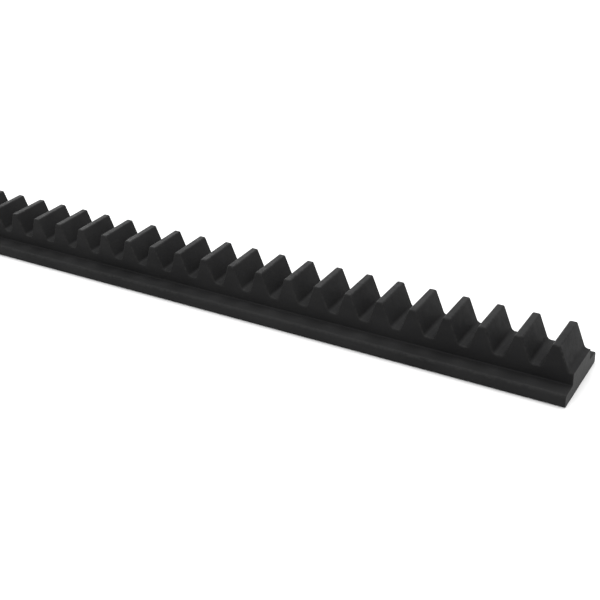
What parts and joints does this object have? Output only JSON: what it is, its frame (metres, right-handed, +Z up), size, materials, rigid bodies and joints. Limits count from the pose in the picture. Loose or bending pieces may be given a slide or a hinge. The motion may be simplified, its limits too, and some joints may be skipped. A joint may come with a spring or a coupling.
{
  "type": "gear rack",
  "caption": "Straight black moulded gear rack: a full-depth toothed web on a wider flat foot whose flanges slide into a channel.",
  "frame": {"origin": "middle of the rack's underside", "axes": "+X along the rack, +Y across the face width, +Z up from the foot to the tooth tips"},
  "size_m": [0.3016, 0.03, 0.018],
  "materials": {
    "black_polymer": "satin black moulded nylon or acetal, a little greyer where the ends are sawn"
  },
  "bodies": {
    "root": {"rack_bar": "black_polymer"}
  },
  "joints": []
}
